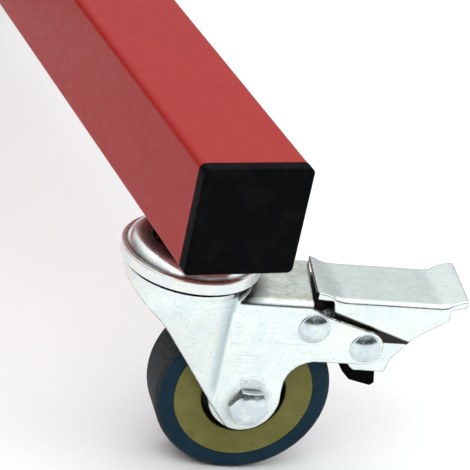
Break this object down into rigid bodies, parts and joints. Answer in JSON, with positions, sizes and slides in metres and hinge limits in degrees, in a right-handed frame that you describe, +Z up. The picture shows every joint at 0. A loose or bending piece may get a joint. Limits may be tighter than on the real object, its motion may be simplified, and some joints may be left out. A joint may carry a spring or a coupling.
{
  "type": "wheel dolly",
  "caption": "Low square-tube dolly frame on braked swivel castors, for rolling car wheels laid flat across its two runners.",
  "frame": {"origin": "on the floor under the middle of the frame", "axes": "+Z up, +X across the dolly from the left runner to the right runner, -Y towards the front"},
  "size_m": [0.7062, 0.6134, 0.17],
  "materials": {
    "powder_coat": "satin red powder coat",
    "cap_plastic": "black moulded plastic",
    "race_plating": "bright plated steel",
    "zinc_sheet": "bright zinc plate",
    "zinc_fastener": "bright zinc plate",
    "ball_steel": "polished steel",
    "bush_steel": "plain oiled steel",
    "spring_steel": "black oxide spring steel",
    "wheel_plastic": "satin olive moulded plastic",
    "tyre_rubber": "satin blue-grey rubber",
    "shoe_rubber": "black rubber"
  },
  "bodies": {
    "frame": {"runner_left": "powder_coat", "runner_right": "powder_coat", "cross_beam": "powder_coat", "stem_bolts": "zinc_fastener", "stem_nuts": "zinc_fastener", "stem_washers": "zinc_fastener", "swivel_balls": "ball_steel", "end_cap_front_right": "cap_plastic", "top_race_front_right": "race_plating", "lower_race_front_right": "race_plating", "end_cap_front_left": "cap_plastic", "top_race_front_left": "race_plating", "lower_race_front_left": "race_plating", "end_cap_rear_right": "cap_plastic", "top_race_rear_right": "race_plating", "lower_race_rear_right": "race_plating", "end_cap_rear_left": "cap_plastic", "top_race_rear_left": "race_plating", "lower_race_rear_left": "race_plating"},
    "swivel_front_right": {"fork_front_right": "zinc_sheet", "axle_bolt_front_right": "zinc_fastener", "axle_nut_front_right": "zinc_fastener", "axle_bush_front_right": "bush_steel", "brake_rivets_front_right": "zinc_fastener", "brake_spring_front_right": "spring_steel"},
    "wheel_front_right": {"wheel_centre_front_right": "wheel_plastic", "tyre_front_right": "tyre_rubber"},
    "brake_front_right": {"brake_pedal_front_right": "zinc_sheet", "brake_shoe_front_right": "shoe_rubber"},
    "swivel_front_left": {"fork_front_left": "zinc_sheet", "axle_bolt_front_left": "zinc_fastener", "axle_nut_front_left": "zinc_fastener", "axle_bush_front_left": "bush_steel", "brake_rivets_front_left": "zinc_fastener", "brake_spring_front_left": "spring_steel"},
    "wheel_front_left": {"wheel_centre_front_left": "wheel_plastic", "tyre_front_left": "tyre_rubber"},
    "brake_front_left": {"brake_pedal_front_left": "zinc_sheet", "brake_shoe_front_left": "shoe_rubber"},
    "swivel_rear_right": {"fork_rear_right": "zinc_sheet", "axle_bolt_rear_right": "zinc_fastener", "axle_nut_rear_right": "zinc_fastener", "axle_bush_rear_right": "bush_steel", "brake_rivets_rear_right": "zinc_fastener", "brake_spring_rear_right": "spring_steel"},
    "wheel_rear_right": {"wheel_centre_rear_right": "wheel_plastic", "tyre_rear_right": "tyre_rubber"},
    "brake_rear_right": {"brake_pedal_rear_right": "zinc_sheet", "brake_shoe_rear_right": "shoe_rubber"},
    "swivel_rear_left": {"fork_rear_left": "zinc_sheet", "axle_bolt_rear_left": "zinc_fastener", "axle_nut_rear_left": "zinc_fastener", "axle_bush_rear_left": "bush_steel", "brake_rivets_rear_left": "zinc_fastener", "brake_spring_rear_left": "spring_steel"},
    "wheel_rear_left": {"wheel_centre_rear_left": "wheel_plastic", "tyre_rear_left": "tyre_rubber"},
    "brake_rear_left": {"brake_pedal_rear_left": "zinc_sheet", "brake_shoe_rear_left": "shoe_rubber"}
  },
  "joints": [
    {"name": "swivel_front_right", "type": "hinge", "parent": "frame", "child": "swivel_front_right", "pos_m": [0.225, -0.26, 0.097], "axis": [0, 0, 1], "continuous": true},
    {"name": "wheel_spin_front_right", "type": "hinge", "parent": "swivel_front_right", "child": "wheel_front_right", "pos_m": [0.25799, -0.26582, 0.04], "axis": [0.1736, 0.9848, 0], "continuous": true},
    {"name": "brake_front_right", "type": "hinge", "parent": "swivel_front_right", "child": "brake_front_right", "pos_m": [0.30506, -0.27412, 0.0725], "axis": [0.1736, 0.9848, 0], "range_deg": [0, 24]},
    {"name": "swivel_front_left", "type": "hinge", "parent": "frame", "child": "swivel_front_left", "pos_m": [-0.225, -0.26, 0.097], "axis": [0, 0, 1], "continuous": true},
    {"name": "wheel_spin_front_left", "type": "hinge", "parent": "swivel_front_left", "child": "wheel_front_left", "pos_m": [-0.25799, -0.26582, 0.04], "axis": [0.1736, -0.9848, 0], "continuous": true},
    {"name": "brake_front_left", "type": "hinge", "parent": "swivel_front_left", "child": "brake_front_left", "pos_m": [-0.30506, -0.27412, 0.0725], "axis": [0.1736, -0.9848, 0], "range_deg": [0, 24]},
    {"name": "swivel_rear_right", "type": "hinge", "parent": "frame", "child": "swivel_rear_right", "pos_m": [0.225, 0.26, 0.097], "axis": [0, 0, 1], "continuous": true},
    {"name": "wheel_spin_rear_right", "type": "hinge", "parent": "swivel_rear_right", "child": "wheel_rear_right", "pos_m": [0.25799, 0.26582, 0.04], "axis": [-0.1736, 0.9848, 0], "continuous": true},
    {"name": "brake_rear_right", "type": "hinge", "parent": "swivel_rear_right", "child": "brake_rear_right", "pos_m": [0.30506, 0.27412, 0.0725], "axis": [-0.1736, 0.9848, 0], "range_deg": [0, 24]},
    {"name": "swivel_rear_left", "type": "hinge", "parent": "frame", "child": "swivel_rear_left", "pos_m": [-0.225, 0.26, 0.097], "axis": [0, 0, 1], "continuous": true},
    {"name": "wheel_spin_rear_left", "type": "hinge", "parent": "swivel_rear_left", "child": "wheel_rear_left", "pos_m": [-0.25799, 0.26582, 0.04], "axis": [-0.1736, -0.9848, 0], "continuous": true},
    {"name": "brake_rear_left", "type": "hinge", "parent": "swivel_rear_left", "child": "brake_rear_left", "pos_m": [-0.30506, 0.27412, 0.0725], "axis": [-0.1736, -0.9848, 0], "range_deg": [0, 24]}
  ]
}
